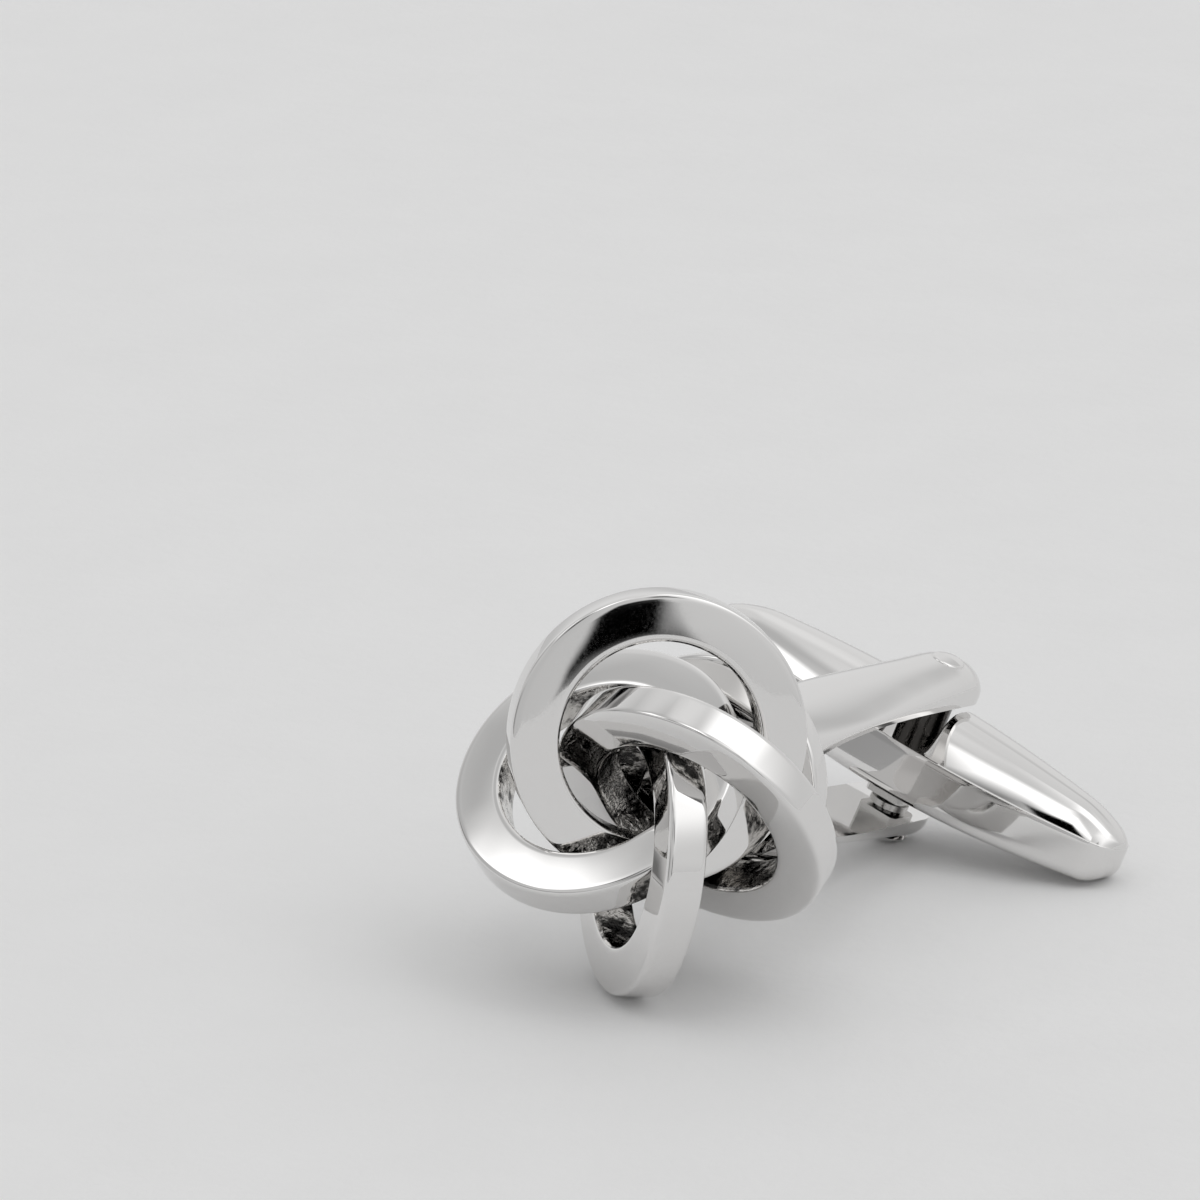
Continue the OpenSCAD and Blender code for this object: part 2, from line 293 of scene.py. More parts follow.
class StageSettings(bpy.types.PropertyGroup):
    """Where the camera stands, how far the paper reaches, and how bright the studio is."""

    heading: bpy.props.FloatProperty(
        name="Heading", description="Turn of the camera's view to the left of +Y",
        default=math.radians(32.79), subtype="ANGLE")
    elevation: bpy.props.FloatProperty(
        name="Elevation", description="Height of the camera above the surface as an angle",
        default=math.radians(17.83), subtype="ANGLE")
    roll: bpy.props.FloatProperty(
        name="Roll", description="Roll of the camera about its view",
        default=math.radians(-0.74), subtype="ANGLE")
    distance: bpy.props.FloatProperty(
        name="Distance", description="Distance from the camera to the point it looks at",
        default=336.26 * MM, unit="LENGTH")
    look_at: bpy.props.FloatVectorProperty(
        name="Look at", description="The point in the middle of the picture",
        subtype="TRANSLATION", default=(-13.52 * MM, 9.72 * MM, 7.3 * MM))
    view_angle: bpy.props.FloatProperty(
        name="View angle", description="Width of the picture as an angle",
        default=2 * math.atan(600 / 8923), subtype="ANGLE")
    paper_near: bpy.props.FloatProperty(
        name="Paper front", description="Distance from the point looked at to the paper's front",
        default=190 * MM, unit="LENGTH")
    paper_far: bpy.props.FloatProperty(
        name="Paper reach", description="Distance from that point to the paper's other edges",
        default=1500 * MM, unit="LENGTH")
    brightness: bpy.props.FloatProperty(
        name="Brightness", description="Strength of the studio's light", default=1.0)


class LinkSettings(bpy.types.PropertyGroup):
    """Everything that can be changed on the cufflink and its stage."""

    knot: bpy.props.PointerProperty(type=KnotSettings)
    fork: bpy.props.PointerProperty(type=ForkSettings)
    pivot: bpy.props.PointerProperty(type=PivotSettings)
    toggle: bpy.props.PointerProperty(type=ToggleSettings)
    finish: bpy.props.PointerProperty(type=FinishSettings)
    stage: bpy.props.PointerProperty(type=StageSettings)


def settings():
    """The sizes and colours that the scene holds."""
    return bpy.context.scene.knot_link


def add_node(tree, kind, inputs=None, **values):
    """Adds a node, sets its own values, and fills or links its inputs by name or number.

    A node that is given as an input stands for the first of its outputs that is in use.
    """
    node = tree.nodes.new(kind)
    for name, value in values.items():
        setattr(node, name, value)
    for key, value in (inputs or {}).items():
        if isinstance(value, bpy.types.Node):
            value = next(output for output in value.outputs if output.enabled)
        if isinstance(value, bpy.types.NodeSocket):
            tree.links.new(value, node.inputs[key])
        else:
            node.inputs[key].default_value = value
    return node


def new_material(name):
    """An empty material, and the place on the piece that its patterns are drawn from."""
    material = bpy.data.materials.new(name)
    material.use_nodes = True
    material.node_tree.nodes.clear()
    place = add_node(material.node_tree, "ShaderNodeTexCoord").outputs["Object"]
    return material, place


def metal(material, colour, rough, bump):
    """Closes a material as bare metal."""
    tree = material.node_tree
    shader = add_node(tree, "ShaderNodeBsdfPrincipled",
                      {"Base Color": colour, "Metallic": 1.0, "Roughness": rough, "Normal": bump})
    add_node(tree, "ShaderNodeOutputMaterial", {"Surface": shader})
    return material


def polished_plate():
    """Rhodium plate over cast metal, buffed to a mirror.

    It reflects the studio crisply, and a faint hand-made wave bends the reflections.
    """
    material, place = new_material("Rhodium plate, mirror polished")
    tree = material.node_tree
    # Buffing leaves a wave of about 2.5 mm, and hairlines that are drawn coarser, at 0.1 mm
    wave = add_node(tree, "ShaderNodeTexNoise",
                    {"Vector": place, "Scale": 1 / (2.5 * MM), "Detail": 1.0, "Roughness": 0.4})
    hairlines = add_node(tree, "ShaderNodeTexNoise",
                         {"Vector": place, "Scale": 1 / (0.1 * MM), "Detail": 3.0,
                          "Roughness": 0.6})
    rough = add_node(tree, "ShaderNodeMapRange",
                     {"Value": hairlines, "From Min": 0.3, "From Max": 0.7,
                      "To Min": 0.02, "To Max": 0.06})
    bump = add_node(tree, "ShaderNodeBump",
                    {"Height": wave, "Strength": 1.0, "Distance": 0.012 * MM})
    return metal(material, (*settings().finish.plate, 1), rough, bump)


def cast_recess():
    """The rings' inner walls, which the buffing wheel can't reach and which are left as cast.

    Low glossy lumps, and patches that are partly tarnish and partly painted shade,
    make them dark but for some glints.
    """
    material, place = new_material("Rhodium plate, as cast")
    tree = material.node_tree
    # Lumps of about 0.3 mm, darkened in patches of about 1.2 mm that are partly tarnish and partly painted shade
    lumps = add_node(tree, "ShaderNodeTexNoise",
                     {"Vector": place, "Scale": 1 / (0.3 * MM), "Detail": 3.0, "Roughness": 0.5})
    bump = add_node(tree, "ShaderNodeBump",
                    {"Height": lumps, "Strength": 1.0, "Distance": 0.05 * MM})
    tarnish_and_shade = add_node(tree, "ShaderNodeTexNoise",
                      {"Vector": place, "Scale": 1 / (1.2 * MM), "Detail": 4.0,
                       "Roughness": 0.6})
    # The plate is bare above this level of the noise. Below it a patch of tarnish and painted shade fades in
    # over a little more of it, and leaves this share of the plate's colour.
    bare, fade, left = 0.54, 0.12, 0.06
    unstained_unshaded = add_node(tree, "ShaderNodeMapRange",
                     {"Value": tarnish_and_shade, "From Min": bare - fade, "From Max": bare},
                     interpolation_type="SMOOTHSTEP")
    recess = settings().finish.recess
    colour = add_node(tree, "ShaderNodeMix",
                      {"Factor": unstained_unshaded, 6: (*(c * left for c in recess), 1), 7: (*recess, 1)},
                      data_type="RGBA")
    rough = add_node(tree, "ShaderNodeMapRange", {"Value": unstained_unshaded, "To Min": 0.16, "To Max": 0.05})
    return metal(material, colour, rough, bump)


def turned_steel(name, colour):
    """Turned steel: its fine tool marks spread the highlights a little."""
    material, place = new_material(name)
    tree = material.node_tree
    # The marks are finer than can be seen, and are drawn at 0.06 mm
    marks = add_node(tree, "ShaderNodeTexNoise",
                     {"Vector": place, "Scale": 1 / (0.06 * MM), "Detail": 2.0})
    rough = add_node(tree, "ShaderNodeMapRange", {"Value": marks, "To Min": 0.12, "To Max": 0.24})
    bump = add_node(tree, "ShaderNodeBump",
                    {"Height": marks, "Strength": 0.6, "Distance": 0.002 * MM})
    return metal(material, (*colour, 1), rough, bump)


def bright_steel():
    """The square hub and the washer, left bright."""
    return turned_steel("Stainless steel, turned", settings().finish.steel)


def steel_in_painted_shade():
    """The collar, darkened as painted shade of the gap under the upper arm."""
    return turned_steel("Steel, darkened as painted shade", settings().finish.collar)


def pale_paper():
    """Uncoated pale card: matte, with a faint felt grain."""
    material, place = new_material("Uncoated card")
    tree = material.node_tree
    # Felt grain of about 0.8 mm, with soft clouds of about 5 mm
    grain = add_node(tree, "ShaderNodeTexNoise",
                     {"Vector": place, "Scale": 1 / (0.8 * MM), "Detail": 4.0, "Roughness": 0.6})
    clouds = add_node(tree, "ShaderNodeTexNoise",
                      {"Vector": place, "Scale": 1 / (5 * MM), "Detail": 2.0})
    height = add_node(tree, "ShaderNodeMath", {0: clouds, 1: 0.8, 2: grain},
                      operation="MULTIPLY_ADD")
    bump = add_node(tree, "ShaderNodeBump",
                    {"Height": height, "Strength": 0.7, "Distance": 0.06 * MM})
    shade = add_node(tree, "ShaderNodeMapRange",
                     {"Value": clouds, "From Min": 0.3, "From Max": 0.7,
                      "To Min": 0.985, "To Max": 1.0})
    colour = add_node(tree, "ShaderNodeMix",
                      {"Factor": shade, 6: (0, 0, 0, 1), 7: (*settings().finish.paper, 1)},
                      data_type="RGBA")
    shader = add_node(tree, "ShaderNodeBsdfPrincipled",
                      {"Base Color": colour, "Roughness": 0.9, "Specular IOR Level": 0.1,
                       "Normal": bump})
    add_node(tree, "ShaderNodeOutputMaterial", {"Surface": shader})
    return material


MAKERS = {
    "plate": polished_plate,
    "cast": cast_recess,
    "steel": bright_steel,
    "dark": steel_in_painted_shade,
    "paper": pale_paper,
}
made = {}


def finish(name):
    """The material of that finish, made once."""
    if name not in made:
        made[name] = MAKERS[name]()
    return made[name]


def mesh_piece(name, mesh, body, *nodes):
    """Lays a mesh down as a piece that rides on a body and stands for CAD nodes.

    A mesh that has no finish of its own is polished.
    """
    if not mesh.materials:
        mesh.materials.append(finish("plate"))
    mesh.transform(LAID)
    piece = bpy.data.objects.new(name, mesh)
    bpy.context.scene.collection.objects.link(piece)
    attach(piece, body)
    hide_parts(*nodes)
    return piece


def finish_mesh(bm, name, sharp=None):
    """Closes a bmesh and turns its faces outwards, smooth but for edges sharper than an angle."""
    bmesh.ops.remove_doubles(bm, verts=bm.verts, dist=MERGE)
    bmesh.ops.recalc_face_normals(bm, faces=bm.faces)
    mesh = bpy.data.meshes.new(name)
    bm.to_mesh(mesh)
    bm.free()
    mesh.polygons.foreach_set("use_smooth", [True] * len(mesh.polygons))
    if sharp:
        mesh.set_sharp_from_angle(angle=math.radians(sharp))
    return mesh


def turned(bm, profile, centre, axis, steps=160):
    """Turns a closed profile of (radius, height) points about an axis through a centre."""
    up = Vector(axis).normalized()
    side = up.orthogonal().normalized()
    verts = [bm.verts.new(Vector(centre) + side * r + up * h) for r, h in profile]
    edges = [bm.edges.new((a, b)) for a, b in zip(verts, verts[1:] + verts[:1])]
    bmesh.ops.spin(bm, geom=verts + edges, cent=centre, axis=up, angle=math.tau, steps=steps,
                   use_merge=True, use_duplicate=False)


def arc(cx, cy, radius, start, end, steps):
    """Points along an arc, its angles in degrees."""
    angles = [math.radians(start + (end - start) * i / steps) for i in range(steps + 1)]
    return [(cx + radius * math.cos(a), cy + radius * math.sin(a)) for a in angles]


def plain_mesh(holder):
    """Returns what an object's modifiers make as a plain mesh, and removes the object."""
    graph = bpy.context.evaluated_depsgraph_get()
    mesh = bpy.data.meshes.new_from_object(holder.evaluated_get(graph), depsgraph=graph)
    bpy.data.objects.remove(holder)
    return mesh


def softened(mesh, width, segments=3, angle=48):
    """Rounds the edges of a mesh that are sharper than an angle in degrees."""
    holder = bpy.data.objects.new("holder", mesh)
    bpy.context.scene.collection.objects.link(holder)
    bevel = holder.modifiers.new("Bevel", "BEVEL")
    bevel.width = width
    bevel.segments = segments
    bevel.limit_method = "ANGLE"
    bevel.angle_limit = math.radians(angle)
    return plain_mesh(holder)


def ring_tree():
    """Draws one ring: a crowned, soft-edged section swept round, then set in the knot."""
    # Steps round the ring and round its section
    steps_round, steps_section = 240, 72
    # The hole's wall ends this share of the thickness outside the hole's radius
    wall = 0.06
    tree = bpy.data.node_groups.new("Knot ring", "GeometryNodeTree")
    tree.is_modifier = True
    tree.interface.new_socket("Geometry", in_out="OUTPUT", socket_type="NodeSocketGeometry")
    for name in ("Outer Radius", "Hole Radius", "Thickness", "Crown", "Fall", "Squareness",
                 "Reach", "Tilt", "Angle"):
        tree.interface.new_socket(name, in_out="INPUT", socket_type="NodeSocketFloat")
    for name in ("Polished", "As Cast"):
        tree.interface.new_socket(name, in_out="INPUT", socket_type="NodeSocketMaterial")
    given = add_node(tree, "NodeGroupInput").outputs

    # The grid's X runs round the ring and its Y round the section
    grid = add_node(tree, "GeometryNodeMeshGrid",
                    {"Size X": math.tau, "Size Y": math.tau,
                     "Vertices X": steps_round + 1, "Vertices Y": steps_section + 1})
    position = add_node(tree, "GeometryNodeInputPosition")
    spot = add_node(tree, "ShaderNodeSeparateXYZ", {"Vector": position}).outputs
    power = add_node(tree, "ShaderNodeMath", {0: 2.0, 1: given["Squareness"]}, operation="DIVIDE")

    def squared(wave):
        """A sine or cosine round the section, pushed out towards a square."""
        swing = add_node(tree, "ShaderNodeMath", {0: spot["Y"]}, operation=wave)
        sign = add_node(tree, "ShaderNodeMath", {0: swing}, operation="SIGN")
        size = add_node(tree, "ShaderNodeMath", {0: swing}, operation="ABSOLUTE")
        pushed = add_node(tree, "ShaderNodeMath", {0: size, 1: power}, operation="POWER")
        return add_node(tree, "ShaderNodeMath", {0: sign, 1: pushed}, operation="MULTIPLY")

    # Across runs from the hole to the rim and along from one face to the other, both -1 to 1
    across, along = squared("COSINE"), squared("SINE")
    band = add_node(tree, "ShaderNodeMath", {0: given["Outer Radius"], 1: given["Hole Radius"]},
                    operation="SUBTRACT")
    half_band = add_node(tree, "ShaderNodeMath", {0: band, 1: 0.5}, operation="MULTIPLY")
    middle = add_node(tree, "ShaderNodeMath", {0: given["Outer Radius"], 1: half_band},
                      operation="SUBTRACT")
    half_thick = add_node(tree, "ShaderNodeMath", {0: given["Thickness"], 1: 0.5},
                          operation="MULTIPLY")

    # Each face is crowned, and falls from the hole out to the rim
    from_middle = add_node(tree, "ShaderNodeMath", {0: across, 1: across}, operation="MULTIPLY")
    crowned = add_node(tree, "ShaderNodeMath", {0: from_middle, 1: given["Crown"]},
                       operation="MULTIPLY")
    outward = add_node(tree, "ShaderNodeMath", {0: across, 1: 0.5, 2: 0.5},
                       operation="MULTIPLY_ADD")
    fallen = add_node(tree, "ShaderNodeMath", {0: outward, 1: given["Fall"], 2: crowned},
                      operation="MULTIPLY_ADD")
    half_height = add_node(tree, "ShaderNodeMath", {0: half_thick, 1: fallen},
                           operation="SUBTRACT")
    height = add_node(tree, "ShaderNodeMath", {0: along, 1: half_height}, operation="MULTIPLY")

    # The rim and the hole's wall have half that crown
    from_centre = add_node(tree, "ShaderNodeMath", {0: along, 1: along}, operation="MULTIPLY")
    half_crown = add_node(tree, "ShaderNodeMath", {0: given["Crown"], 1: 0.5},
                          operation="MULTIPLY")
    rim_fall = add_node(tree, "ShaderNodeMath", {0: from_centre, 1: half_crown},
                        operation="MULTIPLY")
    half_width = add_node(tree, "ShaderNodeMath", {0: half_band, 1: rim_fall},
                          operation="SUBTRACT")
    radius = add_node(tree, "ShaderNodeMath", {0: across, 1: half_width, 2: middle},
                      operation="MULTIPLY_ADD")

    swept = {"Z": height}
    for side, wave in (("X", "COSINE"), ("Y", "SINE")):
        swing = add_node(tree, "ShaderNodeMath", {0: spot["X"]}, operation=wave)
        swept[side] = add_node(tree, "ShaderNodeMath", {0: radius, 1: swing},
                               operation="MULTIPLY")
    ring = add_node(tree, "GeometryNodeSetPosition",
                    {"Geometry": grid, "Position": add_node(tree, "ShaderNodeCombineXYZ", swept)})
    whole = add_node(tree, "GeometryNodeMergeByDistance", {"Geometry": ring, "Distance": MERGE})

    # The faces of the hole's wall are marked while the ring still lies flat
    level_spot = add_node(tree, "ShaderNodeVectorMath", {0: position, 1: (1, 1, 0)},
                          operation="MULTIPLY")
    face_radius = add_node(tree, "ShaderNodeVectorMath", {0: level_spot}, operation="LENGTH")
    wall_end = add_node(tree, "ShaderNodeMath",
                        {0: given["Thickness"], 1: wall, 2: given["Hole Radius"]},
                        operation="MULTIPLY_ADD")
    bore = add_node(tree, "ShaderNodeMath", {0: face_radius, 1: wall_end}, operation="LESS_THAN")
    marked = add_node(tree, "GeometryNodeCaptureAttribute", {"Geometry": whole}, domain="FACE")
    marked.capture_items.new("BOOLEAN", "Bore")
    tree.links.new(bore.outputs["Value"], marked.inputs["Bore"])

    shift = add_node(tree, "ShaderNodeCombineXYZ", {"X": given["Reach"]})
    lean = add_node(tree, "ShaderNodeMath", {0: given["Tilt"], 1: math.pi / 2}, operation="ADD")
    tilted = add_node(tree, "GeometryNodeTransform",
                      {"Geometry": marked, "Translation": shift,
                       "Rotation": add_node(tree, "ShaderNodeCombineXYZ", {"X": lean})})
    about = add_node(tree, "ShaderNodeCombineXYZ", {"Y": given["Angle"]})
    placed = add_node(tree, "GeometryNodeTransform", {"Geometry": tilted, "Rotation": about})
    smooth = add_node(tree, "GeometryNodeSetShadeSmooth", {"Geometry": placed})
    real = add_node(tree, "GeometryNodeRealizeInstances", {"Geometry": smooth})
    polished = add_node(tree, "GeometryNodeSetMaterial",
                        {"Geometry": real, "Material": given["Polished"]})
    # The hole's wall gets the as-cast plate, whose near-black patches are partly painted shade
    cast = add_node(tree, "GeometryNodeSetMaterial",
                    {"Geometry": polished, "Selection": marked.outputs["Bore"],
                     "Material": given["As Cast"]})
    add_node(tree, "NodeGroupOutput", {"Geometry": cast})
    return tree


def from_tree(name, tree, values):
    """Runs a node tree on an empty mesh and returns its result as a plain mesh."""
    holder = bpy.data.objects.new(name, bpy.data.meshes.new(name))
    bpy.context.scene.collection.objects.link(holder)
    modifier = holder.modifiers.new(name, "NODES")
    modifier.node_group = tree
    for socket in tree.interface.items_tree:
        if socket.in_out == "INPUT":
            modifier[socket.identifier] = values[socket.name]
    return plain_mesh(holder)


class LINK_OT_rings(bpy.types.Operator):
    """Makes the four linked rings of the knot"""

    bl_idname = "link.rings"
    bl_label = "Knot rings"

    def execute(self, context):
        knot = settings().knot
        tree = ring_tree()
        values = {
            "Outer Radius": knot.ring_radius,
            "Hole Radius": knot.hole_radius,
            "Thickness": knot.ring_thickness,
            "Crown": knot.crown,
            "Fall": knot.fall,
            "Squareness": knot.squareness,
            "Reach": knot.reach,
            "Tilt": knot.tilt,
            "Polished": finish("plate"),
            "As Cast": finish("cast"),
        }
        # Where each ring lies as seen from the front, in degrees from the right over the top
        seen_at = {"ring_top": 90, "ring_left": 180, "ring_bottom": 270, "ring_right": 0}
        for name, degrees in seen_at.items():
            values["Angle"] = -math.radians(degrees) - knot.turn
            mesh = from_tree(name, tree, values)
            # The tree puts an empty slot before its two finishes
            mesh.materials.pop(index=0)
            bm = bmesh.new()
            bm.from_mesh(mesh)
            bmesh.ops.recalc_face_normals(bm, faces=bm.faces)
            bm.to_mesh(mesh)
            bm.free()
            mesh_piece(name + "_polished", mesh, "link", name)
        return {"FINISHED"}


class LINK_OT_disc(bpy.types.Operator):
    """Makes the backing disc that the rings are soldered to"""

    bl_idname = "link.disc"
    bl_label = "Backing disc"

    def execute(self, context):
        knot = settings().knot
        r, t, soft = knot.disc_radius, knot.disc_thickness, knot.disc_edge
        # The rows at half the radius and next to the edges keep the flats' shading even
        profile = [(0.0, 0.0), (r * 0.5, 0.0), (r - 2 * soft, 0.0)]
        profile += arc(r - soft, soft, soft, -90, 0, 5)
        profile += arc(r - soft, t - soft, soft, 0, 90, 5)
        profile += [(r - 2 * soft, t), (r * 0.5, t), (0.0, t)]
        bm = bmesh.new()
        turned(bm, profile, (0, knot.disc_front, 0), (0, 1, 0))
        mesh = finish_mesh(bm, "back_disc")
        mesh_piece("back_disc_polished", mesh, "link", "back_disc")
        return {"FINISHED"}


class ForkShape:
    """The fork's half sections at a distance y along the post."""

    # Round an arm's end, the width and the lip keep at least these shares, and the crown comes
    # down by this power of the width's share
    LEAST_WIDTH = 0.06
    LEAST_LIP = 0.5
    CROWN_POWER = 0.7

    def __init__(self):
        self.fork = settings().fork
        self.end = PIVOT_BACK + self.fork.overhang
        self.tip_start = self.end - self.fork.arm_width / 2

    def gap_half(self, y):
        """Half the clear height between the arms."""
        fork = self.fork
        wide = fork.gap_start + (PIVOT_BACK - fork.gap_start) * fork.arch_end
        if y >= wide:
            return fork.gap / 2
        if y <= fork.gap_start:
            return 0.0
        back = (wide - y) / (wide - fork.gap_start)
        arch = max(0.0, 1 - back ** fork.arch_power) ** (1 / fork.arch_power)
        return fork.gap / 2 * arch

    def tip_fall(self, y):
        """The share of the width that is left round an arm's end."""
        if y <= self.tip_start:
            return 1.0
        run = (y - self.tip_start) / (self.end - self.tip_start)
        return max(self.LEAST_WIDTH, math.sqrt(max(0.0, 1 - run ** 2)))

    def share(self, y):
        """How far on the way from the foot to the pivot y lies, 1 at the most."""
        return min(1.0, (y - self.fork.foot_end) / (PIVOT_BACK - self.fork.foot_end))

    def crown(self, y):
        """Height of the crown above the post's axis."""
        root = self.fork.root_height / 2
        at_pin = self.fork.gap / 2 + self.fork.arm_thickness
        return root + (at_pin - root) * self.share(y)

    def half_width(self, y):
        """Half the width across the post."""
        fork = self.fork
        width = fork.root_width + (fork.arm_width - fork.root_width) * self.share(y)
        return width / 2 * self.tip_fall(y)

    def edge(self, y):
        """Height of the edge where the crown starts, above the post's axis."""
        fork = self.fork
        plain = self.crown(y) - (fork.arm_thickness - fork.lip)
        if y < fork.gap_start:
            return plain
        lip = fork.lip * max(self.LEAST_LIP, self.tip_fall(y))
        return max(self.gap_half(y) + lip, plain)

    def rise(self, y):
        """Height of the crown above its edge."""
        return (self.crown(y) - self.edge(y)) * self.tip_fall(y) ** self.CROWN_POWER


class LINK_OT_fork(bpy.types.Operator):
    """Makes the forked post, with its round foot"""

    bl_idname = "link.fork"
    bl_label = "Forked post"

    def execute(self, context):
        fork = settings().fork
        knot = settings().knot
        shape = ForkShape()
        # Steps over the crown, down a wall and across the gap
        crown_steps, wall_steps, gap_steps = 40, 4, 12
        # Steps along the root, the arch with the arms, and the round ends
        root_steps, arm_steps, end_steps = 6, 60, 26
        root = fork.gap_start - fork.foot_end
        arm = shape.tip_start - fork.gap_start
        tip = shape.end - shape.tip_start
        stations = [fork.foot_end + root * i / root_steps for i in range(root_steps)]
        stations += [fork.gap_start + arm * (1 - math.cos(math.pi / 2 * i / arm_steps))
                     for i in range(arm_steps)]
        stations += [shape.tip_start + tip * math.sin(math.pi / 2 * i / end_steps)
                     for i in range(end_steps + 1)]
        bm = bmesh.new()

        def quads(rows):
            """Fills in between rows of points. Corners in the same place count once."""
            same_place = 1e-9
            grid = [[bm.verts.new(p) for p in row] for row in rows]
            for a, b in zip(grid, grid[1:]):
                for i in range(len(a) - 1):
                    corners = []
                    for v in (a[i], a[i + 1], b[i + 1], b[i]):
                        if all((v.co - w.co).length > same_place for w in corners):
                            corners.append(v)
                    if len(corners) > 2:
                        bm.faces.new(corners)

        def crown_row(y, side):
            width, edge, rise = shape.half_width(y), shape.edge(y), shape.rise(y)
            turns = [math.pi * i / crown_steps for i in range(crown_steps + 1)]
            return [(width * math.cos(a), y, side * (edge + rise * math.sin(a))) for a in turns]

        def wall_row(y, side, x):
            edge, gap = shape.edge(y), shape.gap_half(y)
            return [(x * shape.half_width(y), y, side * (edge + (gap - edge) * i / wall_steps))
                    for i in range(wall_steps + 1)]

        def gap_row(y, side):
            width, gap = shape.half_width(y), shape.gap_half(y)
            return [(width * (2 * i / gap_steps - 1), y, side * gap)
                    for i in range(gap_steps + 1)]

        for side in (1, -1):
            quads([crown_row(y, side) for y in stations])
            for x in (1, -1):
                quads([wall_row(y, side, x) for y in stations])
            quads([gap_row(y, side) for y in stations if y >= fork.gap_start])
        # The round end of each arm and the root are closed across their sections
        for side in (1, -1):
            outside = crown_row(shape.end, side)
            inside = [(x, y, side * shape.gap_half(y)) for x, y, _ in outside]
            quads([inside, outside])
        bmesh.ops.remove_doubles(bm, verts=bm.verts, dist=MERGE)
        bmesh.ops.holes_fill(bm, edges=[e for e in bm.edges if e.is_boundary], sides=0)
        bmesh.ops.recalc_face_normals(bm, faces=bm.faces)
        arms = bpy.data.meshes.new("fork_arms")
        bm.to_mesh(arms)
        bm.free()
        arms = softened(arms, fork.arm_edge)

        bm = bmesh.new()
        bm.from_mesh(arms)
        # The foot and the tenon's head start this far inside the disc
        foot_sunk, tenon_sunk = 0.1 * MM, 0.3 * MM
        soft, r = fork.foot_edge, fork.foot_radius
        low = knot.disc_front + knot.disc_thickness
        height = fork.foot_end - low
        # The rows at a fifth of the height and 0.6 of the radius keep the shading even
        profile = [(0.0, -foot_sunk), (r, -foot_sunk), (r, 0.2 * height)]
        profile += arc(r - soft, height - soft, soft, 0, 90, 5)
        profile += [(r * 0.6, height), (0.0, height)]
        turned(bm, profile, (0, low, 0), (0, 1, 0))
        dome, tenon = fork.tenon_dome, fork.tenon_radius
        profile = [(0.0, -tenon_sunk), (tenon, -tenon_sunk)]
        profile += arc(0.0, -math.sqrt(dome ** 2 - tenon ** 2), dome,
                       math.degrees(math.acos(tenon / dome)), 90, 12)
        turned(bm, profile, (0, knot.disc_front, 0), (0, -1, 0), steps=96)
        mesh = finish_mesh(bm, "post_fork", sharp=38)
        mesh_piece("post_fork_polished", mesh, "link", "post_fork")
        return {"FINISHED"}


class LINK_OT_pivot(bpy.types.Operator):
    """Makes the pivot pin, and gives the collar, hub and washer on it their steels"""

    bl_idname = "link.pivot"
    bl_label = "Pivot"

    def execute(self, context):
        pivot, fork = settings().pivot, settings().fork
        r, spread, soft = pivot.pin_radius, pivot.rivet_radius, pivot.rivet_edge
        head_r, head_h = pivot.head_radius, pivot.head_height
        # The riveted end swells between these depths below the arm's crown
        swell_low, swell_high = 0.6 * MM, 0.4 * MM
        top = fork.gap / 2 + fork.arm_thickness
        seat = -(top - pivot.head_sunk)
        dome = (head_r ** 2 + head_h ** 2) / (2 * head_h)
        reach = math.degrees(math.asin(head_r / dome))
        profile = arc(0.0, seat - head_h + dome, dome, -90, -90 + reach, 14)
        profile += [(r, seat), (r, 0.0), (r, top - swell_low), (spread, top - swell_high)]
        profile += arc(spread - soft, top + pivot.rivet_proud - soft, soft, 0, 90, 6)
        # Rows across the end, which is bent below
        profile += [(spread * share, top + pivot.rivet_proud)
                    for share in (0.75, 0.6, 0.45, 0.3, 0.15, 0.0)]
        bm = bmesh.new()
        turned(bm, profile, (0, PIVOT_BACK, 0), (0, 0, 1), steps=96)
        # The riveted end follows the crown of the arm
        shape = ForkShape()
        for v in bm.verts:
            if v.co.z > top - (swell_low + swell_high) / 2:
                x, y = v.co.x, v.co.y
                across = min(1.0, abs(x) / shape.half_width(y))
                v.co.z += shape.edge(y) + shape.rise(y) * math.sqrt(1 - across ** 2) - top
        mesh = finish_mesh(bm, "pivot_pin", sharp=50)
        mesh_piece("pivot_pin_polished", mesh, "link", "pivot_pin")

        # The collar takes steel darkened as painted shade
        steels = {"spacer_collar": "dark", "square_hub": "steel", "spring_washer": "steel"}
        for node, steel in steels.items():
            slots = frame["nodes"][node].data.materials
            slots.clear()
            slots.append(finish(steel))
        return {"FINISHED"}


